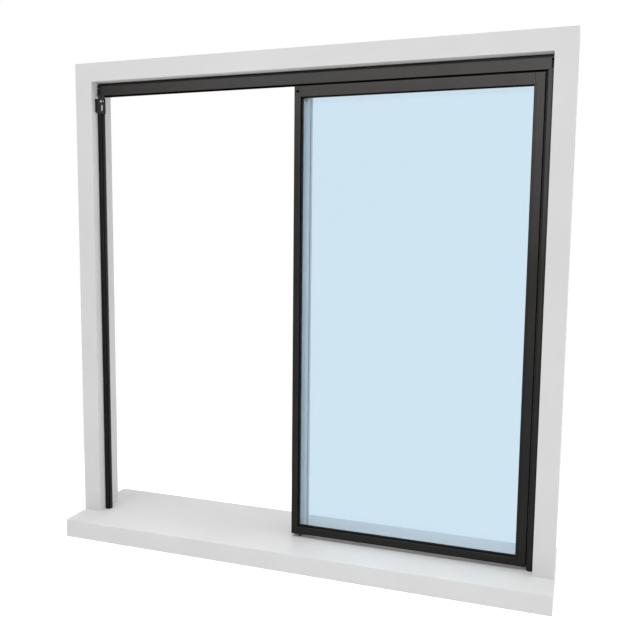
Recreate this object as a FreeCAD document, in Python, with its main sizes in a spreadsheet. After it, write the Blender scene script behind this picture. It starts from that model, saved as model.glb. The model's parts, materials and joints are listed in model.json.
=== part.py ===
"""Sliding concession window in a lined wall opening with a counter sill.

Frame: the origin is the middle of the underside of the counter sill. +X runs to the right
seen from the serving side, +Y runs through the wall, +Z is up. Sizes are in millimetres.
The sash hangs from the header track and is shown open, parked over the fixed light.
"""
import FreeCAD, Part
import math
import os
import re
import Sketcher

Vector = FreeCAD.Vector
Rotation = FreeCAD.Rotation

# Driving sizes
SIZES = {
    # wall opening and its white lining
    "opening_width": 1220,
    "opening_height": 1223,
    "wall_depth": 90,
    "board_width": 51,
    "head_height": 50,
    "sill_thickness": 49,
    "sill_front_overhang": 87,
    "sill_back_overhang": 108,
    "sill_edge_round": 1.5,
    # upright at the middle of the opening, behind the sash
    "meeting_post_width": 30,
    "meeting_post_gap": 5,
    # header track
    "frame_setback": 25,
    "header_depth": 25,
    "header_height": 35,
    "header_face": 27.5,
    "header_wall": 2.2,
    "header_lip": 2.5,
    "header_top_wall": 2.2,
    "track_slot": 10,
    "reveal_step": 3,
    "reveal_slot": 12,
    "reveal_height": 3,
    "header_round": 1,
    "header_end_relief": 6.5,
    # side jambs
    "jamb_width": 13,
    "jamb_depth": 18,
    "jamb_wall": 1.8,
    "jamb_step_width": 3,
    "jamb_step_depth": 2,
    "jamb_round": 0.8,
    "seal_slot": 5,
    "seal_slot_depth": 1.2,
    "seal_cavity": 8,
    "seal_cavity_depth": 2,
    "seal_slot_place": 6,
    "seal_round": 1.1,
    # sliding sash
    "sash_depth": 21,
    "sash_lap": 21.5,
    "sash_side_gap": 4,
    "sash_floor_gap": 8.3,
    "sash_head_gap": 4.2,
    "stile_width": 18,
    "pull_stile_width": 24.3,
    "top_rail_height": 27,
    "bottom_rail_height": 21,
    "sash_wall": 2,
    "glazing_pocket": 8,
    "glass_setback": 8.5,
    "glass_thickness": 5,
    "glass_edge_gap": 1.5,
    "setting_block_height": 3,
    "setting_block_length": 60,
    "outer_gasket": 1,
    "inner_gasket": 1.5,
    "gasket_height": 2,
    "gasket_lip": 2.2,
    "bead_width": 5.2,
    "bead_setback": 1.2,
    "bead_groove": 2.2,
    "bead_groove_depth": 4,
    "sash_round": 3,
    "sight_round": 1,
    "pin_hole": 6,
    "pin_hole_side": 9.5,
    "pin_hole_top": 12,
    # hangers and wheels
    "hanger_length": 60,
    "hanger_inset": 60,
    "hanger_plate": 4,
    "hanger_foot_width": 14,
    "hanger_foot_height": 3,
    "hanger_top_cover": 6,
    "wheel_radius": 7.2,
    "wheel_width": 5.2,
    "wheel_chamfer": 0.8,
    "wheel_dish": 1,
    "wheel_dish_radius": 5.2,
    "wheel_spacing": 36,
    "axle_radius": 2.5,
    "fit_gap": 0.3,
    # track buffers
    "buffer_length": 16,
    "buffer_height": 18,
    # foot guide
    "guide_pin_radius": 3.5,
    "guide_pin_chamfer": 1.5,
    "guide_groove": 9,
    "guide_reach": 5,
    # strike bracket
    "strike_width": 31,
    "strike_height": 41.5,
    "strike_drop": 9,
    "strike_sheet": 1.6,
    "strike_bend": 1,
    "strike_standoff": 10,
    "strike_return": 5,
    "strike_tab_depth": 17,
    "strike_corner_width": 11,
    "strike_corner_height": 6.5,
    "strike_pin_hole": 4.4,
    "strike_fixing_hole": 7,
    "strike_fixing_side": 12,
    "strike_slot_width": 5.5,
    "strike_slot_length": 16.5,
    "strike_slot_side": 9,
    "strike_slot_foot": 8,
    "strike_neck_side": 10,
    "strike_overlap": 8,
    # fixed light
    "fixed_glass_thickness": 6,
    "fixed_glass_place": 20,
    "channel_height": 12.5,
    "channel_wall": 2,
    "fixed_gasket": 2,
    "fixed_gasket_height": 8,
    "fixed_bite": 9,
    # pile strip on the meeting post
    "pile_width": 5,
}

# Places and sizes worked out from the driving sizes
PLACES = {
    "half_opening": "opening_width / 2",
    "sill_depth": "sill_front_overhang + wall_depth + sill_back_overhang",
    "sill_length": "opening_width + 2 * board_width",
    "wall_front": "sill_front_overhang - sill_depth / 2",
    "wall_back": "wall_front + wall_depth",
    "opening_top": "sill_thickness + opening_height",
    "frame_front": "wall_front + frame_setback",
    "track_centre": "frame_front + header_depth / 2",
    "header_bottom": "opening_top - header_height",
    "sash_front": "track_centre - sash_depth / 2",
    "sash_back": "sash_front + sash_depth",
    "sash_bottom": "sill_thickness + sash_floor_gap",
    "sash_top": "header_bottom - sash_head_gap",
    "sash_left": "0 - sash_lap",
    "sash_right": "half_opening - jamb_width - sash_side_gap",
    "rail_left": "sash_left + stile_width",
    "rail_right": "sash_right - pull_stile_width",
    "glass_front": "sash_front + glass_setback",
    "glass_back": "glass_front + glass_thickness",
    "glass_left": "rail_left - glazing_pocket + glass_edge_gap",
    "glass_right": "rail_right + glazing_pocket - glass_edge_gap",
    "glass_bottom": "sash_bottom + bottom_rail_height - glazing_pocket + setting_block_height",
    "glass_top": "sash_top - top_rail_height + glazing_pocket - glass_edge_gap",
    "axle_height": "header_bottom + header_lip + wheel_radius + fit_gap",
    "post_left": "sash_left",
    "post_right": "post_left + meeting_post_width",
    "post_front": "sash_back + meeting_post_gap",
    "fixed_front": "post_front + fixed_glass_place - fixed_glass_thickness / 2",
    "channel_depth": "fixed_glass_thickness + 2 * fixed_gasket + 2 * channel_wall",
    "channel_front": "fixed_front - fixed_gasket - channel_wall",
    "strike_front": "frame_front - strike_standoff",
    "strike_top": "header_bottom - strike_drop",
    "strike_bottom": "strike_top - strike_height",
    "pin_hole_height": "sash_top - pin_hole_top",
}

doc = FreeCAD.newDocument("concession_window")
sheet = doc.addObject("Spreadsheet::Sheet", "sizes")
for row, (alias, value) in enumerate(SIZES.items(), start=1):
    sheet.set(f"A{row}", alias)
    sheet.set(f"B{row}", str(value))
    sheet.setAlias(f"B{row}", alias)
doc.recompute()

PIECES = []


def formula(text):
    """Write a size formula with every named place and size bound to the sheet."""
    def bind(match):
        word = match.group(0)
        if word in PLACES:
            return "(" + formula(PLACES[word]) + ")"
        if word in SIZES:
            return "sizes." + word
        return word
    return re.sub(r"[a-z][a-z_]+", bind, str(text))


def amount(text):
    """The present value of a size formula."""
    plain = re.sub(r"sizes\.([a-z_]+)", lambda match: str(sheet.get(match.group(1))), formula(text))
    return FreeCAD.Units.Quantity(plain).Value


def place(item, corner, rotation=Rotation()):
    """Put an object at a corner given as three size formulas."""
    item.Placement = FreeCAD.Placement(Vector(), rotation)
    for axis, text in zip("xyz", corner):
        item.setExpression(".Placement.Base." + axis, formula(text))


def keep(item, label):
    """Mark an object as one of the window's pieces."""
    item.Label = label
    PIECES.append(item)
    return item


def block(label, corner, lengths, piece=True):
    item = doc.addObject("Part::Box", label)
    for name, text in zip(("Length", "Width", "Height"), lengths):
        item.setExpression(name, formula(text))
    place(item, corner)
    return keep(item, label) if piece else item


ALONG_Z = Rotation()
ALONG_X = Rotation(Vector(1, 1, 1), 120)
ALONG_Y = Rotation(Vector(1, 0, 0), 90)
AXLE_ALONG_Y = Rotation(Vector(0, 0, 1), 90)
UPRIGHT = Rotation(Vector(0, 1, 0), -90)


def rod(name, centre, radius, length, rotation):
    item = doc.addObject("Part::Cylinder", name)
    item.setExpression("Radius", formula(radius))
    item.setExpression("Height", formula(length))
    place(item, centre, rotation)
    return item


def cut(name, base, tools):
    """Cut the tools from the base."""
    result = base
    for number, tool in enumerate(tools):
        step = doc.addObject("Part::Cut", f"{name}_cut_{number}")
        step.Base = result
        step.Tool = tool
        result = step
    return result


def group(name, items):
    item = doc.addObject("Part::Compound", name)
    item.Links = items
    return item


def origin_plane(body, role):
    return next(feature for feature in body.Origin.OriginFeatures if feature.Role == role)


def moved(text, distance, direction):
    """A coordinate moved by a distance, in a direction of -1, 0 or 1."""
    return {-1: f"{text} - ({distance})", 0: text, 1: f"{text} + ({distance})"}[direction]


def outline_path(outline):
    """The ends of each side and round of an outline, with the radius of the round that starts there."""
    corners = [Vector(amount(across), amount(up), 0) for across, up, *radius in outline]
    path = []
    for index, (across, up, *radius) in enumerate(outline):
        if not radius:
            path.append((across, up, None))
            continue
        for neighbour, round_starts in ((corners[index - 1], True), (corners[(index + 1) % len(corners)], False)):
            way = (neighbour - corners[index]).normalize()
            path.append((moved(across, radius[0], round(way.x)), moved(up, radius[0], round(way.y)),
                         (radius[0], corners[index]) if round_starts else None))
    return path


def draw_round(sketch, start, end, corner):
    """Draw a quarter round inside a square corner. It returns its first and last point's numbers."""
    centre = start + end - corner
    left_turn = (corner - start).cross(end - corner).z > 0
    first, last = (start, end) if left_turn else (end, start)
    first_angle = math.atan2(first.y - centre.y, first.x - centre.x)
    last_angle = first_angle + math.pi / 2
    circle = Part.Circle(centre, Vector(0, 0, 1), (start - centre).Length)
    sketch.addGeometry(Part.ArcOfCircle(circle, first_angle, last_angle))
    return (1, 2) if left_turn else (2, 1)


def draw_outline(sketch, outline):
    """Draw a closed outline bound to size formulas. A square corner's third value is its radius."""
    path = outline_path(outline)
    places = [Vector(amount(across), amount(up), 0) for across, up, rounding in path]
    first = sketch.GeometryCount
    count = len(path)
    ends = []
    for index, (across, up, rounding) in enumerate(path):
        start, end = places[index], places[(index + 1) % count]
        if rounding:
            ends.append(draw_round(sketch, start, end, rounding[1]))
        else:
            sketch.addGeometry(Part.LineSegment(start, end))
            ends.append((1, 2))
    for index, (across, up, rounding) in enumerate(path):
        edge = first + index
        after = (index + 1) % count
        sketch.addConstraint(Sketcher.Constraint("Coincident", edge, ends[index][1], first + after, ends[after][0]))
        bound = [("DistanceX", (-1, 1, edge, ends[index][0], places[index].x), across),
                 ("DistanceY", (-1, 1, edge, ends[index][0], places[index].y), up)]
        if rounding:
            bound.append(("Radius", (edge, amount(rounding[0])), rounding[0]))
        for kind, values, text in bound:
            number = sketch.addConstraint(Sketcher.Constraint(kind, *values))
            sketch.setExpression(f"Constraints[{number}]", formula(text))


def profile_sketch(label, outlines):
    """A body with one sketch that holds the outlines."""
    body = doc.addObject("PartDesign::Body", label)
    doc.recompute()
    sketch = body.newObject("Sketcher::SketchObject", label + "_profile")
    sketch.AttachmentSupport = [(origin_plane(body, "XY_Plane"), "")]
    sketch.MapMode = "FlatFace"
    for outline in outlines:
        draw_outline(sketch, outline)
    sketch.Visibility = False
    return body, sketch


def extrusion(label, outlines, length, corner, rotation, piece=True):
    """A profile padded along its member: the first outline is the outside, the rest are hollows."""
    body, sketch = profile_sketch(label, outlines)
    pad = body.newObject("PartDesign::Pad", label + "_pad")
    pad.Profile = sketch
    pad.setExpression("Length", formula(length))
    place(body, corner, rotation)
    return keep(body, label) if piece else body


def turned(label, outline, centre, rotation):
    """A half section turned about its own lower edge, as a lathe makes it."""
    body, sketch = profile_sketch(label, [outline])
    turn = body.newObject("PartDesign::Revolution", label + "_turn")
    turn.Profile = sketch
    turn.ReferenceAxis = (sketch, ["H_Axis"])
    turn.Angle = 360
    place(body, centre, rotation)
    return body


def mirrored(outlines, width):
    """The same profile seen in a mirror across its width."""
    return [[(f"{width} - ({across})", up, *radius) for across, up, *radius in reversed(outline)]
            for outline in outlines]


def rectangle(left, low, right, high):
    return [(left, low), (right, low), (right, high), (left, high)]


# White lining and counter sill
extrusion("counter_sill", [[
    ("0", "0"),
    ("sill_depth", "0"),
    ("sill_depth", "sill_thickness", "sill_edge_round"),
    ("0", "sill_thickness", "sill_edge_round"),
]], "sill_length", ("0 - sill_length / 2", "0 - sill_depth / 2", "0"), ALONG_X)
for label, left in (("left_post", "0 - half_opening - board_width"), ("right_post", "half_opening")):
    block(label, (left, "wall_front", "sill_thickness"), ("board_width", "wall_depth", "opening_height"))
block("head_board", ("0 - sill_length / 2", "wall_front", "opening_top"),
      ("sill_length", "wall_depth", "head_height"))

# Meeting post with a groove for the fixed glass
GROOVE_FRONT = "channel_front + channel_wall - post_front"
GROOVE_BACK = "channel_front + channel_depth - channel_wall - post_front"
extrusion("meeting_post", [[
    ("0", "0"),
    ("meeting_post_width", "0"),
    ("meeting_post_width", GROOVE_FRONT),
    ("meeting_post_width - fixed_bite", GROOVE_FRONT),
    ("meeting_post_width - fixed_bite", GROOVE_BACK),
    ("meeting_post_width", GROOVE_BACK),
    ("meeting_post_width", "wall_back - post_front"),
    ("0", "wall_back - post_front"),
]], "opening_height", ("post_left", "post_front", "sill_thickness"), ALONG_Z)
block("meeting_seal", ("post_left + meeting_post_width / 2 - pile_width / 2", "sash_back + fit_gap",
                       "sill_thickness + sash_floor_gap"),
      ("pile_width", "meeting_post_gap - fit_gap", "sash_top - sash_bottom"))

# Header track: wheel chamber with two lips over a slot, and a stepped shadow gap above its face
SLOT_FRONT = "header_depth / 2 - track_slot / 2"
SLOT_BACK = "header_depth / 2 + track_slot / 2"
CHAMBER_TOP = "header_face - header_top_wall"
header_bar = extrusion("header_bar", [[
    ("0", "0", "header_round"),
    (SLOT_FRONT, "0"),
    (SLOT_FRONT, "header_lip"),
    ("header_wall", "header_lip"),
    ("header_wall", CHAMBER_TOP),
    ("header_depth - header_wall", CHAMBER_TOP),
    ("header_depth - header_wall", "header_lip"),
    (SLOT_BACK, "header_lip"),
    (SLOT_BACK, "0"),
    ("header_depth", "0"),
    ("header_depth", "header_height"),
    ("reveal_slot", "header_height"),
    ("reveal_slot", "header_height - reveal_height"),
    ("reveal_step", "header_height - reveal_height"),
    ("reveal_step", "header_face"),
    ("0", "header_face", "header_round"),
], rectangle("reveal_slot + header_wall", "header_face", "header_depth - header_wall",
             "header_height - header_wall")],
    "opening_width", ("0 - half_opening", "frame_front", "header_bottom"), ALONG_X, piece=False)
header_reliefs = [
    block(f"header_relief_{side}", (left, "wall_front", "header_bottom"),
          ("header_end_relief", "frame_setback + header_wall", "header_face"), piece=False)
    for side, left in (("left", "0 - half_opening"), ("right", "half_opening - header_end_relief"))
]
keep(cut("header_track", header_bar, header_reliefs), "header_track")
for label, left in (("left_end_stop", "0 - half_opening"), ("right_end_stop", "half_opening - buffer_length")):
    block(label, (left, "frame_front + header_wall + fit_gap", "header_bottom + header_lip"),
          ("buffer_length", "header_depth - 2 * header_wall - 2 * fit_gap", "buffer_height"))

# Side jambs: channels open to the wall, with a shadow gap at the lining and a slot for the bulb seal
SLOT_END = "seal_slot_place + seal_slot"
CAVITY_START = "seal_slot_place + seal_slot / 2 - seal_cavity / 2"
CAVITY_END = "seal_slot_place + seal_slot / 2 + seal_cavity / 2"
SLOT_NECK = "jamb_width - seal_slot_depth"
SLOT_FLOOR = "jamb_width - seal_slot_depth - seal_cavity_depth"
JAMB_PROFILE = [[
    ("0", "jamb_step_depth"),
    ("jamb_step_width", "jamb_step_depth"),
    ("jamb_step_width", "0", "jamb_round"),
    ("jamb_width", "0", "jamb_round"),
    ("jamb_width", "seal_slot_place"),
    (SLOT_NECK, "seal_slot_place"),
    (SLOT_NECK, CAVITY_START),
    (SLOT_FLOOR, CAVITY_START),
    (SLOT_FLOOR, CAVITY_END),
    (SLOT_NECK, CAVITY_END),
    (SLOT_NECK, SLOT_END),
    ("jamb_width", SLOT_END),
    ("jamb_width", "jamb_depth"),
    ("jamb_width - jamb_wall", "jamb_depth"),
    ("jamb_width - jamb_wall", f"{CAVITY_END} + jamb_wall"),
    (f"{SLOT_FLOOR} - jamb_wall", f"{CAVITY_END} + jamb_wall"),
    (f"{SLOT_FLOOR} - jamb_wall", "jamb_wall"),
    ("jamb_step_width + jamb_wall", "jamb_wall"),
    ("jamb_step_width + jamb_wall", "jamb_step_depth + jamb_wall"),
    ("jamb_wall", "jamb_step_depth + jamb_wall"),
    ("jamb_wall", "jamb_depth"),
    ("0", "jamb_depth"),
]]
SEAL_PROFILE = [[
    (f"{SLOT_FLOOR} + fit_gap", f"{CAVITY_START} + fit_gap"),
    (f"{SLOT_NECK} - fit_gap", f"{CAVITY_START} + fit_gap"),
    (f"{SLOT_NECK} - fit_gap", "seal_slot_place + fit_gap"),
    ("jamb_width + fit_gap", "seal_slot_place + fit_gap"),
    ("jamb_width + fit_gap", f"{CAVITY_START} - fit_gap"),
    ("jamb_width + sash_side_gap - fit_gap", f"{CAVITY_START} - fit_gap", "seal_round"),
    ("jamb_width + sash_side_gap - fit_gap", f"{CAVITY_END} + fit_gap", "seal_round"),
    ("jamb_width + fit_gap", f"{CAVITY_END} + fit_gap"),
    ("jamb_width + fit_gap", f"{SLOT_END} - fit_gap"),
    (f"{SLOT_NECK} - fit_gap", f"{SLOT_END} - fit_gap"),
    (f"{SLOT_NECK} - fit_gap", f"{CAVITY_END} - fit_gap"),
    (f"{SLOT_FLOOR} + fit_gap", f"{CAVITY_END} - fit_gap"),
]]
JAMB_HEIGHT = "header_bottom - sill_thickness"
LEFT_JAMB_HEIGHT = "strike_bottom + strike_overlap - sill_thickness"
LEFT_FOOT = ("0 - half_opening", "frame_front", "sill_thickness")
RIGHT_FOOT = ("half_opening - jamb_width", "frame_front", "sill_thickness")
SEAL_FOOT = ("half_opening - jamb_width - sash_side_gap", "frame_front", "sill_thickness")
SEAL_SPAN = "jamb_width + sash_side_gap"
extrusion("left_jamb", JAMB_PROFILE, LEFT_JAMB_HEIGHT, LEFT_FOOT, ALONG_Z)
extrusion("right_jamb", mirrored(JAMB_PROFILE, "jamb_width"), JAMB_HEIGHT, RIGHT_FOOT, ALONG_Z)
extrusion("left_jamb_seal", SEAL_PROFILE, LEFT_JAMB_HEIGHT, LEFT_FOOT, ALONG_Z)
extrusion("right_jamb_seal", mirrored(SEAL_PROFILE, SEAL_SPAN), JAMB_HEIGHT, SEAL_FOOT, ALONG_Z)

# Strike bracket: folded sheet over the top of the left jamb, with a neck and a tab under the header track
STRIKE_LEG = "strike_standoff + jamb_step_depth - fit_gap"
STRIKE_SPAN = "header_bottom - strike_bottom"
PIN_X = "0 - sash_right + pin_hole_side - (0 - half_opening)"
PIN_Z = "pin_hole_height - strike_bottom"
SLOT_X = "strike_width - strike_slot_side"
SLOT_LOW = "strike_slot_foot + strike_slot_width / 2"
SLOT_HIGH = "strike_slot_foot + strike_slot_length - strike_slot_width / 2"


def strike_place(across, depth, up):
    """A place on the bracket, measured from its lower left front corner."""
    return (f"{across} - half_opening", f"strike_front + {depth}", f"strike_bottom + {up}")


strike_body = extrusion("strike_bracket_channel", [[
    ("0", "0", "strike_bend"),
    ("strike_width", "0", "strike_bend"),
    ("strike_width", "strike_return"),
    ("strike_width - strike_sheet", "strike_return"),
    ("strike_width - strike_sheet", "strike_sheet"),
    ("strike_sheet", "strike_sheet"),
    ("strike_sheet", STRIKE_LEG),
    ("0", STRIKE_LEG),
]], STRIKE_SPAN, strike_place("0", "0", "0"), ALONG_Z, piece=False)
strike_tools = [
    extrusion("strike_corner_tool", [[
        ("0", "0"),
        ("strike_corner_width", "0"),
        ("0", "strike_corner_height"),
    ]], STRIKE_LEG, strike_place("0", STRIKE_LEG, "0"), ALONG_Y, piece=False),
    block("strike_shoulder_tool", strike_place("0", "0", "strike_height"),
          ("strike_neck_side", STRIKE_LEG, "strike_drop"), piece=False),
    block("strike_neck_tool", strike_place("strike_neck_side", "strike_sheet", "strike_height"),
          ("strike_width", STRIKE_LEG, "strike_drop"), piece=False),
    rod("strike_pin_hole_tool", strike_place(PIN_X, "strike_return", PIN_Z), "strike_pin_hole / 2",
        "2 * strike_return", ALONG_Y),
    rod("strike_fixing_hole_tool", strike_place("strike_width - strike_fixing_side", "strike_return", PIN_Z),
        "strike_fixing_hole / 2", "2 * strike_return", ALONG_Y),
    block("strike_slot_tool", strike_place(f"{SLOT_X} - strike_slot_width / 2", "0", SLOT_LOW),
          ("strike_slot_width", "strike_return", "strike_slot_length - strike_slot_width"), piece=False),
]
for end, height in (("low", SLOT_LOW), ("high", SLOT_HIGH)):
    strike_tools.append(rod(f"strike_slot_{end}_end", strike_place(SLOT_X, "strike_return", height),
                            "strike_slot_width / 2", "2 * strike_return", ALONG_Y))
strike_tab = block("strike_tab", strike_place("strike_neck_side", "0", f"{STRIKE_SPAN} - strike_sheet"),
                   ("strike_width - strike_neck_side", "strike_tab_depth", "strike_sheet"), piece=False)
strike_join = doc.addObject("Part::Fuse", "strike_join")
strike_join.Base = cut("strike_plate", strike_body, strike_tools)
strike_join.Tool = strike_tab
keep(strike_join, "strike_bracket")

# Sash stiles: a hollow tube at the outer edge and a pocket for the glass
LEG_END = "glass_setback - outer_gasket"
LIP_START = "glass_setback + glass_thickness + inner_gasket"
LEFT_STILE = [[
    ("0", "0", "sash_round"),
    ("stile_width", "0", "sight_round"),
    ("stile_width", LEG_END),
    ("stile_width - gasket_height", LEG_END),
    ("stile_width - gasket_height", "sash_wall"),
    ("stile_width - glazing_pocket", "sash_wall"),
    ("stile_width - glazing_pocket", LIP_START),
    ("stile_width", LIP_START),
    ("stile_width", "sash_depth"),
    ("0", "sash_depth"),
], rectangle("sash_wall", "sash_wall", "stile_width - glazing_pocket - sash_wall",
             "sash_depth - sash_wall")]
RIGHT_STILE = [[
    ("0", "0", "sash_round"),
    ("pull_stile_width", "0", "sight_round"),
    ("pull_stile_width", LEG_END),
    ("pull_stile_width - gasket_height", LEG_END),
    ("pull_stile_width - gasket_height", "bead_groove_depth + sash_wall"),
    ("pull_stile_width - glazing_pocket", "bead_groove_depth + sash_wall"),
    ("pull_stile_width - glazing_pocket", LIP_START),
    ("pull_stile_width", LIP_START),
    ("pull_stile_width", "sash_depth"),
    ("0", "sash_depth"),
], rectangle("sash_wall", "sash_wall", "pull_stile_width - glazing_pocket - sash_wall",
             "sash_depth - sash_wall")]
SASH_HEIGHT = "sash_top - sash_bottom"
RAIL_LOW = "sash_bottom + bottom_rail_height"
RAIL_HIGH = "sash_top - top_rail_height"
left_stile_bar = extrusion("left_stile_bar", LEFT_STILE, SASH_HEIGHT,
                           ("sash_left", "sash_front", "sash_bottom"), ALONG_Z, piece=False)
pin_hole = rod("sash_pin_hole", ("sash_left + pin_hole_side", "sash_front + sash_wall", "pin_hole_height"),
               "pin_hole / 2", "sash_wall + frame_setback", ALONG_Y)
keep(cut("sash_left_stile", left_stile_bar, [pin_hole]), "sash_left_stile")
right_stile_bar = extrusion("right_stile_bar", mirrored(RIGHT_STILE, "pull_stile_width"), SASH_HEIGHT,
                            ("rail_right", "sash_front", "sash_bottom"), ALONG_Z, piece=False)
guide_notch = block("guide_notch", ("rail_right", "track_centre - guide_groove / 2", "sash_bottom"),
                    ("sash_lap + guide_pin_radius + fit_gap", "guide_groove",
                     "bottom_rail_height - glazing_pocket"), piece=False)
BEAD_LOW = f"{RAIL_LOW} - bead_width"
BEAD_HEIGHT = f"{RAIL_HIGH} - ({RAIL_LOW}) + 2 * bead_width"
bead_face = block("bead_face_tool", ("rail_right", "wall_front", BEAD_LOW),
                  ("bead_width", "sash_front + bead_setback - wall_front", BEAD_HEIGHT), piece=False)
bead_groove = block("bead_groove_tool", ("rail_right + bead_width - bead_groove", "wall_front", BEAD_LOW),
                    ("bead_groove", "sash_front + bead_groove_depth - wall_front", BEAD_HEIGHT), piece=False)
keep(cut("sash_right_stile", right_stile_bar, [guide_notch, bead_face, bead_groove]), "sash_right_stile")

# Sash rails between the stiles: the top one takes the hangers, the bottom one the foot guide
HANG_FRONT = "sash_depth / 2 - track_slot / 2"
HANG_BACK = "sash_depth / 2 + track_slot / 2"
RAIL_LENGTH = "rail_right - rail_left"
extrusion("sash_top_rail", [[
    ("0", "0", "sight_round"),
    (LEG_END, "0"),
    (LEG_END, "gasket_height"),
    ("sash_wall", "gasket_height"),
    ("sash_wall", "glazing_pocket"),
    (LIP_START, "glazing_pocket"),
    (LIP_START, "0"),
    ("sash_depth", "0"),
    ("sash_depth", "top_rail_height"),
    (HANG_BACK, "top_rail_height"),
    (HANG_BACK, "top_rail_height - sash_wall"),
    ("sash_depth - sash_wall", "top_rail_height - sash_wall"),
    ("sash_depth - sash_wall", "glazing_pocket + sash_wall"),
    ("sash_wall", "glazing_pocket + sash_wall"),
    ("sash_wall", "top_rail_height - sash_wall"),
    (HANG_FRONT, "top_rail_height - sash_wall"),
    (HANG_FRONT, "top_rail_height"),
    ("0", "top_rail_height"),
]], RAIL_LENGTH, ("rail_left", "sash_front", "sash_top - top_rail_height"), ALONG_X)
GUIDE_FRONT = "sash_depth / 2 - guide_groove / 2"
GUIDE_BACK = "sash_depth / 2 + guide_groove / 2"
POCKET_FLOOR = "bottom_rail_height - glazing_pocket"
extrusion("sash_bottom_rail", [[
    ("0", "0", "sash_round - sash_wall / 2"),
    (GUIDE_FRONT, "0"),
    (GUIDE_FRONT, "sash_wall"),
    ("sash_wall", "sash_wall"),
    ("sash_wall", f"{POCKET_FLOOR} - sash_wall"),
    ("sash_depth - sash_wall", f"{POCKET_FLOOR} - sash_wall"),
    ("sash_depth - sash_wall", "sash_wall"),
    (GUIDE_BACK, "sash_wall"),
    (GUIDE_BACK, "0"),
    ("sash_depth", "0"),
    ("sash_depth", "bottom_rail_height"),
    (LIP_START, "bottom_rail_height"),
    (LIP_START, POCKET_FLOOR),
    ("sash_wall", POCKET_FLOOR),
    ("sash_wall", "bottom_rail_height - gasket_height"),
    (LEG_END, "bottom_rail_height - gasket_height"),
    (LEG_END, "bottom_rail_height"),
    ("0", "bottom_rail_height", "sight_round"),
]], RAIL_LENGTH, ("rail_left", "sash_front", "sash_bottom"), ALONG_X)

# Sash glass with its gaskets and setting blocks
block("sash_glass", ("glass_left", "glass_front", "glass_bottom"),
      ("glass_right - glass_left", "glass_thickness", "glass_top - glass_bottom"))


def ring(label, front, depth, sight, rim):
    """A rectangular ring whose inner edge is the sight line and whose rim is the given height."""
    left, right, low, high = sight
    outside = block(label + "_outside", (f"{left} - {rim}", front, f"{low} - {rim}"),
                    (f"{right} - ({left}) + 2 * {rim}", depth, f"{high} - ({low}) + 2 * {rim}"), piece=False)
    inside = block(label + "_inside", (left, front, low),
                   (f"{right} - ({left})", depth, f"{high} - ({low})"), piece=False)
    return cut(label, outside, [inside])


SASH_SIGHT = ("rail_left", "rail_right", RAIL_LOW, RAIL_HIGH)
LIP_SIGHT = ("rail_left + gasket_lip", "rail_right - gasket_lip", f"{RAIL_LOW} + gasket_lip",
             f"{RAIL_HIGH} - gasket_lip")
keep(ring("sash_outer_gasket", "glass_front - outer_gasket", "outer_gasket", LIP_SIGHT,
          "(gasket_height + gasket_lip)"), "sash_outer_gasket")
keep(ring("sash_inner_gasket", "glass_back", "inner_gasket", SASH_SIGHT, "gasket_height"),
     "sash_inner_gasket")
sash_blocks = [
    block(f"sash_block_{side}", (left, "glass_front", f"{RAIL_LOW} - glazing_pocket"),
          ("setting_block_length", "glass_thickness", "setting_block_height"), piece=False)
    for side, left in (("left", "rail_left + setting_block_length"),
                       ("right", "rail_right - 2 * setting_block_length"))
]
keep(group("sash_setting_blocks", sash_blocks), "sash_setting_blocks")

# Hangers with their wheel sets
HANGER_BOTTOM = "sash_top - sash_wall - hanger_foot_height"
HANGER_RISE = "axle_height + hanger_top_cover - sash_top + sash_wall + hanger_foot_height"
FOOT_HALF = "hanger_foot_width / 2"
HANGER_PROFILE = [[
    ("0", "0"),
    ("hanger_foot_width", "0"),
    ("hanger_foot_width", "hanger_foot_height"),
    (f"{FOOT_HALF} + hanger_plate / 2", "hanger_foot_height"),
    (f"{FOOT_HALF} + hanger_plate / 2", HANGER_RISE),
    (f"{FOOT_HALF} - hanger_plate / 2", HANGER_RISE),
    (f"{FOOT_HALF} - hanger_plate / 2", "hanger_foot_height"),
    ("0", "hanger_foot_height"),
]]
WHEEL_FRONT = "frame_front + header_wall + fit_gap"
SET_LENGTH = "header_depth - 2 * header_wall - 2 * fit_gap"
FRONT_HALF_SECTION = [
    ("wheel_dish", "0"),
    ("wheel_dish", "wheel_dish_radius"),
    ("0", "wheel_dish_radius"),
    ("0", "wheel_radius - wheel_chamfer"),
    ("wheel_chamfer", "wheel_radius"),
    ("wheel_width", "wheel_radius"),
    ("wheel_width", "axle_radius"),
]
WHEEL_SET = FRONT_HALF_SECTION + mirrored([FRONT_HALF_SECTION], SET_LENGTH)[0]
for side, left in (("left", "rail_left + hanger_inset"),
                   ("right", "rail_right - hanger_inset - hanger_length")):
    bar = extrusion(f"{side}_hanger_bar", HANGER_PROFILE, "hanger_length",
                    (left, f"track_centre - {FOOT_HALF}", HANGER_BOTTOM), ALONG_X, piece=False)
    axle_holes = []
    wheel_sets = []
    for end, sign in (("a", "-"), ("b", "+")):
        axle_x = f"{left} + hanger_length / 2 {sign} wheel_spacing / 2"
        axle_holes.append(rod(f"{side}_axle_hole_{end}", (axle_x, "track_centre + hanger_plate", "axle_height"),
                              "axle_radius + fit_gap", "2 * hanger_plate", ALONG_Y))
        wheel_sets.append(turned(f"{side}_wheel_set_{end}", WHEEL_SET, (axle_x, WHEEL_FRONT, "axle_height"),
                                 AXLE_ALONG_Y))
    keep(cut(f"{side}_hanger", bar, axle_holes), f"{side}_hanger")
    keep(group(f"{side}_hanger_wheels", wheel_sets), f"{side}_hanger_wheels")

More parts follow.
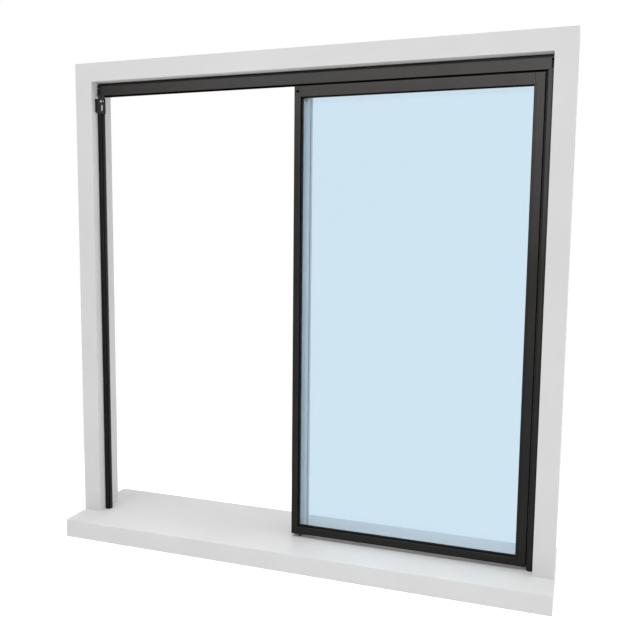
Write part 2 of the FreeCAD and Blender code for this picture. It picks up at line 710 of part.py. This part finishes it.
# Foot guide: a chamfered pin that stands on the sill inside the groove of the sash
keep(turned("floor_guide", [
    ("0", "0"),
    ("sash_floor_gap + guide_reach", "0"),
    ("sash_floor_gap + guide_reach", "guide_pin_radius - guide_pin_chamfer"),
    ("sash_floor_gap + guide_reach - guide_pin_chamfer", "guide_pin_radius"),
    ("0", "guide_pin_radius"),
], ("0", "track_centre", "sill_thickness"), UPRIGHT), "floor_guide")

# Fixed light in channels behind the parked sash
CHANNEL_SPAN = "half_opening - post_right"
CHANNEL_TOP = "opening_top - channel_height"


def u_profile(closed_side):
    """A channel section standing on its web, or hanging from it."""
    inner = "channel_depth - channel_wall"
    outline = [("0", "0"), ("channel_depth", "0"), ("channel_depth", "channel_height"),
               (inner, "channel_height"), (inner, "channel_wall"), ("channel_wall", "channel_wall"),
               ("channel_wall", "channel_height"), ("0", "channel_height")]
    if closed_side == "top":
        outline = [(across, f"channel_height - ({up})") for across, up in reversed(outline)]
    return [outline]


extrusion("fixed_sill_channel", u_profile("bottom"), CHANNEL_SPAN,
          ("post_right", "channel_front", "sill_thickness"), ALONG_X)
extrusion("fixed_head_channel", u_profile("top"), CHANNEL_SPAN,
          ("post_right", "channel_front", CHANNEL_TOP), ALONG_X)
JAMB_CHANNEL = [[(f"channel_height - ({up})", across) for across, up in reversed(u_profile("bottom")[0])]]
extrusion("fixed_jamb_channel", JAMB_CHANNEL, "opening_height - 2 * channel_height",
          ("half_opening - channel_height", "channel_front", "sill_thickness + channel_height"), ALONG_Z)
FIXED_LEFT = "post_right - fixed_bite + glass_edge_gap"
FIXED_RIGHT = "half_opening - channel_wall - glass_edge_gap"
FIXED_LOW = "sill_thickness + channel_wall + setting_block_height"
FIXED_HIGH = "opening_top - channel_wall - glass_edge_gap"
block("fixed_glass", (FIXED_LEFT, "fixed_front", FIXED_LOW),
      (f"{FIXED_RIGHT} - ({FIXED_LEFT})", "fixed_glass_thickness", f"{FIXED_HIGH} - ({FIXED_LOW})"))
FIXED_SIGHT = ("post_right", "half_opening - channel_height", "sill_thickness + channel_height", CHANNEL_TOP)
keep(group("fixed_gaskets", [
    ring("fixed_gasket_front", "fixed_front - fixed_gasket", "fixed_gasket", FIXED_SIGHT, "fixed_gasket_height"),
    ring("fixed_gasket_back", "fixed_front + fixed_glass_thickness", "fixed_gasket", FIXED_SIGHT,
         "fixed_gasket_height"),
]), "fixed_gaskets")
fixed_blocks = [
    block(f"fixed_block_{side}", (left, "fixed_front", "sill_thickness + channel_wall"),
          ("setting_block_length", "fixed_glass_thickness", "setting_block_height"), piece=False)
    for side, left in (("left", "post_right + setting_block_length"),
                       ("right", "half_opening - 2 * setting_block_length"))
]
keep(group("fixed_setting_blocks", fixed_blocks), "fixed_setting_blocks")

# Check every object, then write each piece
doc.recompute()
for item in doc.Objects:
    if "Invalid" in item.State or "Error" in item.State:
        raise RuntimeError(f"{item.Label} failed to compute")
for piece in PIECES:
    if piece.Shape.isNull() or not piece.Shape.isValid():
        raise RuntimeError(f"{piece.Label} has no valid shape")
os.makedirs("parts", exist_ok=True)
for piece in PIECES:
    piece.Shape.exportStep(f"parts/{piece.Label}.step")
    print(piece.Label, len(piece.Shape.Solids), round(piece.Shape.Volume))
print(len(PIECES), "pieces")
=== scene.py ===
"""Looks for the sliding concession window: paint, coated metal, glass, fixings and studio."""
import json
import math

import bmesh
import bpy
from mathutils import Euler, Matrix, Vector


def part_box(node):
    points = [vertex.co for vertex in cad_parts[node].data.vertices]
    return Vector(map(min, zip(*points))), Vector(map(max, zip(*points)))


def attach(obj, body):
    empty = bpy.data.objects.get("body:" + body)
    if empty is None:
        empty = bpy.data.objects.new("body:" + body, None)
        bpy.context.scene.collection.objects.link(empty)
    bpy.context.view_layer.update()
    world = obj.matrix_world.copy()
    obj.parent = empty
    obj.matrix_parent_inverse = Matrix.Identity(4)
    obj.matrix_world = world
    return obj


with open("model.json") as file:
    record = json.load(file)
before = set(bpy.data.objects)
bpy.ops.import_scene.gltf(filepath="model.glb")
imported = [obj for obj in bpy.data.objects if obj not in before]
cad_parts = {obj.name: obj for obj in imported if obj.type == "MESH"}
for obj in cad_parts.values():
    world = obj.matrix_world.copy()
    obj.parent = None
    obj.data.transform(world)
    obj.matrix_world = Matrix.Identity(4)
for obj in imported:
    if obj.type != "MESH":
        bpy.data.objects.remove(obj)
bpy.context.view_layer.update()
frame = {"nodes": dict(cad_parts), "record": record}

MM = 0.001
BLACK = (0, 0, 0, 1)
WHITE = (1, 1, 1, 1)

# Camera: where the photograph was taken from, in the window's own frame, and its turn in degrees
CAMERA_PLACE = (0.6886, -1.8601, 0.8512)
CAMERA_TURN = (83.787, -0.633, 19.158)
CAMERA_LENS = 42.35
CAMERA_NEAR = 0.01
CAMERA_FAR = 60


def make_camera():
    camera = bpy.data.objects.new("camera", bpy.data.cameras.new("camera"))
    bpy.context.scene.collection.objects.link(camera)
    camera.location = CAMERA_PLACE
    camera.rotation_euler = Euler([math.radians(turn) for turn in CAMERA_TURN])
    camera.data.lens = CAMERA_LENS
    camera.data.clip_start = CAMERA_NEAR
    camera.data.clip_end = CAMERA_FAR
    bpy.context.scene.camera = camera


# Node helpers
RAMP_START = 0.3
RAMP_END = 0.7


def new_material(name):
    material = bpy.data.materials.new(name)
    material.use_nodes = True
    nodes = material.node_tree.nodes
    return material, nodes, material.node_tree.links, nodes["Principled BSDF"]


def add_node(nodes, kind, **settings):
    node = nodes.new(kind)
    for name, value in settings.items():
        setattr(node, name, value)
    return node


def object_coordinates(nodes, links, scale=(1, 1, 1)):
    place = add_node(nodes, "ShaderNodeTexCoord")
    mapping = add_node(nodes, "ShaderNodeMapping")
    mapping.inputs["Scale"].default_value = scale
    links.new(place.outputs["Object"], mapping.inputs["Vector"])
    return mapping.outputs["Vector"]


def noise(nodes, links, vector, scale, detail):
    texture = add_node(nodes, "ShaderNodeTexNoise")
    texture.inputs["Scale"].default_value = scale
    texture.inputs["Detail"].default_value = detail
    links.new(vector, texture.inputs["Vector"])
    return texture.outputs["Fac"]


def ramp(nodes, links, value, low, high):
    """A colour between low and high, as value goes over the middle of a noise's range."""
    node = add_node(nodes, "ShaderNodeValToRGB")
    for stop, position, colour in zip(node.color_ramp.elements, (RAMP_START, RAMP_END), (low, high)):
        stop.position = position
        stop.color = (*colour, 1)
    links.new(value, node.inputs["Fac"])
    return node.outputs["Color"]


def spread(nodes, links, value, low, high, start=0.0, end=1.0):
    """A number between low and high, as value goes from start to end."""
    node = add_node(nodes, "ShaderNodeMapRange")
    node.inputs["From Min"].default_value = start
    node.inputs["From Max"].default_value = end
    node.inputs["To Min"].default_value = low
    node.inputs["To Max"].default_value = high
    links.new(value, node.inputs["Value"])
    return node.outputs["Result"]


def combine(nodes, links, operation, first, second):
    node = add_node(nodes, "ShaderNodeMath", operation=operation)
    links.new(first, node.inputs[0])
    links.new(second, node.inputs[1])
    return node.outputs["Value"]


def bump(nodes, links, value, strength, depth):
    node = add_node(nodes, "ShaderNodeBump")
    node.inputs["Strength"].default_value = strength
    node.inputs["Distance"].default_value = depth
    links.new(value, node.inputs["Height"])
    return node.outputs["Normal"]


def grey(level, warmth):
    return (level * (1 + warmth), level, level * (1 - warmth))


# Materials
GLASS_IOR = 1.5
GLASS_CLOUD = (1.5, 1)
GLASS_DEEPER = 0.995


def opaque(name, tones, roughness, cloud, warmth=0.0, grain=None, relief=None, gloss=0.5, metal=False):
    """An opaque surface whose tone and roughness drift between two values each.

    cloud and grain are the scale and detail of a noise. relief is the strength and depth of the
    bump that the grain gives, or the cloud where there is no grain.
    """
    material, nodes, links, shader = new_material(name)
    vector = object_coordinates(nodes, links)
    drift = noise(nodes, links, vector, *cloud)
    dark, pale = [grey(tone, warmth) for tone in tones]
    links.new(ramp(nodes, links, drift, dark, pale), shader.inputs["Base Color"])
    links.new(spread(nodes, links, drift, *roughness), shader.inputs["Roughness"])
    if relief:
        height = noise(nodes, links, vector, *grain) if grain else drift
        links.new(bump(nodes, links, height, *relief), shader.inputs["Normal"])
    shader.inputs["Specular IOR Level"].default_value = gloss
    if metal:
        # the black tint keeps a dark metal dark where it is seen along its surface
        shader.inputs["Metallic"].default_value = 1.0
        shader.inputs["Specular Tint"].default_value = BLACK
    return material


def painted_board():
    return opaque("painted_board", tones=(0.645, 0.675), roughness=(0.5, 0.62), cloud=(6, 4), warmth=0.004,
                  grain=(900, 2), relief=(0.08, 0.4 * MM), gloss=0.35)


def dark_aluminium():
    return opaque("dark_aluminium", tones=(0.0245, 0.0295), roughness=(0.26, 0.36), cloud=(9, 3),
                  warmth=0.03, grain=(2200, 2), relief=(0.12, 0.2 * MM), metal=True)


def rubber(name, tones, gloss=0.3):
    return opaque(name, tones, roughness=(0.6, 0.75), cloud=(60, 3), relief=(0.1, 0.3 * MM), gloss=gloss)


# the steel is made near black, painted shade for the dark gap between the header and the top rail where the
# hangers show
def painted_shade_steel():
    return opaque("painted_shade_steel", tones=(0.012, 0.02), roughness=(0.4, 0.52), cloud=(120, 4), metal=True)


def wheel_plastic():
    return opaque("wheel_plastic", tones=(0.015, 0.024), roughness=(0.4, 0.5), cloud=(300, 2))


def glass(name, tint, shade):
    """Clear glass with a colour of its own, and the colour of the light that it lets through."""
    material, nodes, links, shader = new_material(name)
    drift = noise(nodes, links, object_coordinates(nodes, links), *GLASS_CLOUD)
    deeper = [GLASS_DEEPER * part for part in tint]
    links.new(ramp(nodes, links, drift, deeper, tint), shader.inputs["Base Color"])
    shader.inputs["Transmission Weight"].default_value = 1.0
    shader.inputs["Roughness"].default_value = 0.0
    shader.inputs["IOR"].default_value = GLASS_IOR
    clear = add_node(nodes, "ShaderNodeBsdfTransparent")
    clear.inputs["Color"].default_value = (*shade, 1)
    path = add_node(nodes, "ShaderNodeLightPath")
    mix = add_node(nodes, "ShaderNodeMixShader")
    links.new(path.outputs["Is Shadow Ray"], mix.inputs["Fac"])
    links.new(shader.outputs["BSDF"], mix.inputs[1])
    links.new(clear.outputs["BSDF"], mix.inputs[2])
    links.new(mix.outputs["Shader"], nodes["Material Output"].inputs["Surface"])
    return material


SLOT_MATERIALS = {
    "painted_board": painted_board(),
    "dark_aluminium": dark_aluminium(),
    "tinted_glass": glass("tinted_glass", tint=(0.64, 0.795, 0.905), shade=(0.95, 0.95, 0.95)),
    "clear_glass": glass("clear_glass", tint=(0.985, 0.992, 0.992), shade=(0.93, 0.94, 0.94)),
    "black_rubber": rubber("black_rubber", (0.006, 0.012)),
    "grey_rubber": rubber("grey_rubber", (0.48, 0.54)),
    "pile": rubber("pile", (0.003, 0.006), gloss=0),
    "steel": painted_shade_steel(),
    "wheel_plastic": wheel_plastic(),
}

# Edges: the radius of the rounding on each slot's pieces, its steps and the smallest angle it takes
EDGE_ROUNDS = {"painted_board": 1.6 * MM, "dark_aluminium": 0.2 * MM, "tinted_glass": 0.5 * MM,
               "clear_glass": 0.5 * MM}
EDGE_STEPS = 2
EDGE_ANGLE = 40


def dress_nodes():
    for part in frame["record"]["subparts"]:
        node = frame["nodes"][part["node"]]
        slot = part["material_slot"]
        node.data.materials.clear()
        node.data.materials.append(SLOT_MATERIALS[slot])
        if slot in EDGE_ROUNDS:
            rounding = node.modifiers.new("edge_round", "BEVEL")
            rounding.width = EDGE_ROUNDS[slot]
            rounding.segments = EDGE_STEPS
            rounding.limit_method = "ANGLE"
            rounding.angle_limit = math.radians(EDGE_ANGLE)
            rounding.harden_normals = True


# Pin hole of the sash's left stile: from the stile's side and top, and the section in mm of the matt black
# piece that paints the hole's shade, as pairs of radius and height from the middle of its bowl outwards over
# its lip
PIN_HOLE_SIDE = 9.5 * MM
PIN_HOLE_TOP = 12 * MM
PIN_HOLE_SHADE_SECTION = [(0, -1.2), (1.8, -1.1), (2.5, 0.1), (2.7, 0.2), (3.9, 0.2), (4.1, 0.02), (2.9, 0.02),
                    (2.9, -1.9), (0, -1.9)]
TURNED_STEPS = 32


def turned_mesh(name, section):
    """A mesh turned about Z from pairs of radius and height in mm, closed where a radius is 0."""
    mesh = bmesh.new()
    angles = [2 * math.pi * step / TURNED_STEPS for step in range(TURNED_STEPS)]
    rings = []
    for radius, height in section:
        ring = [Vector((radius * math.cos(angle), radius * math.sin(angle), height))
                for angle in (angles if radius else angles[:1])]
        rings.append([mesh.verts.new(corner * MM) for corner in ring])
    for inner, outer in zip(rings, rings[1:]):
        for step in range(TURNED_STEPS):
            corners = [inner[step % len(inner)], inner[(step + 1) % len(inner)],
                       outer[(step + 1) % len(outer)], outer[step % len(outer)]]
            corners = [corner for index, corner in enumerate(corners) if corner not in corners[:index]]
            mesh.faces.new(corners)
    bmesh.ops.recalc_face_normals(mesh, faces=mesh.faces)
    data = bpy.data.meshes.new(name)
    mesh.to_mesh(data)
    mesh.free()
    piece = bpy.data.objects.new(name, data)
    bpy.context.scene.collection.objects.link(piece)
    return piece


def make_pin_bush():
    """A matt black piece in the hole of the sash's left stile where the keeper's pin enters, painted shade
    for the hole's dark inside.
    """
    low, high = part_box("sash_left_stile")
    bush = turned_mesh("pin_hole_bush", PIN_HOLE_SHADE_SECTION)
    bush.location = (low[0] + PIN_HOLE_SIDE, low[1], high[2] - PIN_HOLE_TOP)
    bush.rotation_euler = (math.radians(90), 0, 0)
    # the pile's matt black without gloss paints the shade inside the pin hole
    bush.data.materials.append(SLOT_MATERIALS["pile"])
    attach(bush, "root")


# Studio: the world's light on the object, and the floor
WORLD_LIGHT = 0.36
FLOOR_SIZE = 20.0
FLOOR_DROP = 0.5 * MM
FLOOR_ROUGHNESS = 0.9
# the floor's tone for the light it gives back, and its tone and glow for the camera near the object
FLOOR_LIT = 0.97
FLOOR_SEEN = 0.3
FLOOR_GLOW = 0.84
# the oval round the object where the camera sees its shadow, and the radii between which it fades
FLOOR_SHADE_SHAPE = (0.35, 1, 1)
FLOOR_SHADE_START = 0.22
FLOOR_SHADE_END = 0.75
# name: place, target, width, height and power of each soft lamp
LAMPS = {
    "key": ((-0.6, -3.3, 2.2), (-0.4, 0.0, 1.0), 3.8, 0.55, 36),
    "tall": ((0.78, -3.3, 1.35), (0.6, 0.0, 1.0), 0.56, 1.1, 8),
    "top": ((-0.2, -0.35, 3.6), (-0.2, -0.3, 0.0), 2.0, 1.0, 67),
    "back": ((-0.7, 1.7, 2.6), (0.0, 0.0, 0.1), 1.2, 1.2, 15),
    "side": ((3.0, -0.45, 0.65), (-0.6, 0.0, 0.65), 0.6, 1.0, 21),
    "end": ((3.0, 0.6, 0.65), (0.0, 0.0, 0.65), 0.8, 1.0, 9),
}


def seen_directly(nodes, links):
    """1 where the camera, a reflection or a ray through the glass sees the background, 0 for its light."""
    path = add_node(nodes, "ShaderNodeLightPath")
    value = path.outputs["Is Camera Ray"]
    for ray in ("Is Glossy Ray", "Is Transmission Ray"):
        value = combine(nodes, links, "MAXIMUM", value, path.outputs[ray])
    return value


def make_world():
    world = bpy.data.worlds.new("studio")
    bpy.context.scene.world = world
    world.use_nodes = True
    nodes = world.node_tree.nodes
    links = world.node_tree.links
    background = nodes["Background"]
    background.inputs["Color"].default_value = WHITE
    strength = spread(nodes, links, seen_directly(nodes, links), WORLD_LIGHT, 1.0)
    links.new(strength, background.inputs["Strength"])


def make_floor():
    """A pale floor that the camera and the glass see as white, with the object's shadow on it."""
    bpy.ops.mesh.primitive_plane_add(size=FLOOR_SIZE, location=(0, 0, -FLOOR_DROP))
    floor = bpy.context.object
    floor.name = "floor"
    material, nodes, links, shader = new_material("floor")
    shader.inputs["Roughness"].default_value = FLOOR_ROUGHNESS
    shader.inputs["Specular IOR Level"].default_value = 0.0
    seen = seen_directly(nodes, links)
    distance = add_node(nodes, "ShaderNodeVectorMath", operation="LENGTH")
    links.new(object_coordinates(nodes, links, FLOOR_SHADE_SHAPE), distance.inputs[0])
    near = spread(nodes, links, distance.outputs["Value"], 1, 0, FLOOR_SHADE_START, FLOOR_SHADE_END)
    camera = add_node(nodes, "ShaderNodeLightPath").outputs["Is Camera Ray"]
    shade = combine(nodes, links, "MULTIPLY", near, camera)
    plain = combine(nodes, links, "SUBTRACT", seen, shade)
    lit_tone = spread(nodes, links, shade, FLOOR_LIT, FLOOR_SEEN)
    tone = combine(nodes, links, "MULTIPLY", lit_tone, spread(nodes, links, plain, 1, 0))
    links.new(tone, shader.inputs["Base Color"])
    glow = combine(nodes, links, "MULTIPLY", seen, spread(nodes, links, shade, 1, FLOOR_GLOW))
    links.new(glow, shader.inputs["Emission Strength"])
    shader.inputs["Emission Color"].default_value = WHITE
    floor.data.materials.append(material)


def make_lamp(name, place, target, width, height, power):
    light = bpy.data.lights.new(name, "AREA")
    light.shape = "RECTANGLE"
    light.energy = power
    light.size = width
    light.size_y = height
    lamp = bpy.data.objects.new(name, light)
    lamp.visible_camera = False
    bpy.context.scene.collection.objects.link(lamp)
    lamp.location = place
    lamp.rotation_euler = (Vector(target) - Vector(place)).to_track_quat("-Z", "Y").to_euler()


make_camera()
make_world()
make_floor()
for lamp_name, lamp_values in LAMPS.items():
    make_lamp(lamp_name, *lamp_values)
dress_nodes()
make_pin_bush()
bpy.context.scene.view_settings.view_transform = "Standard"
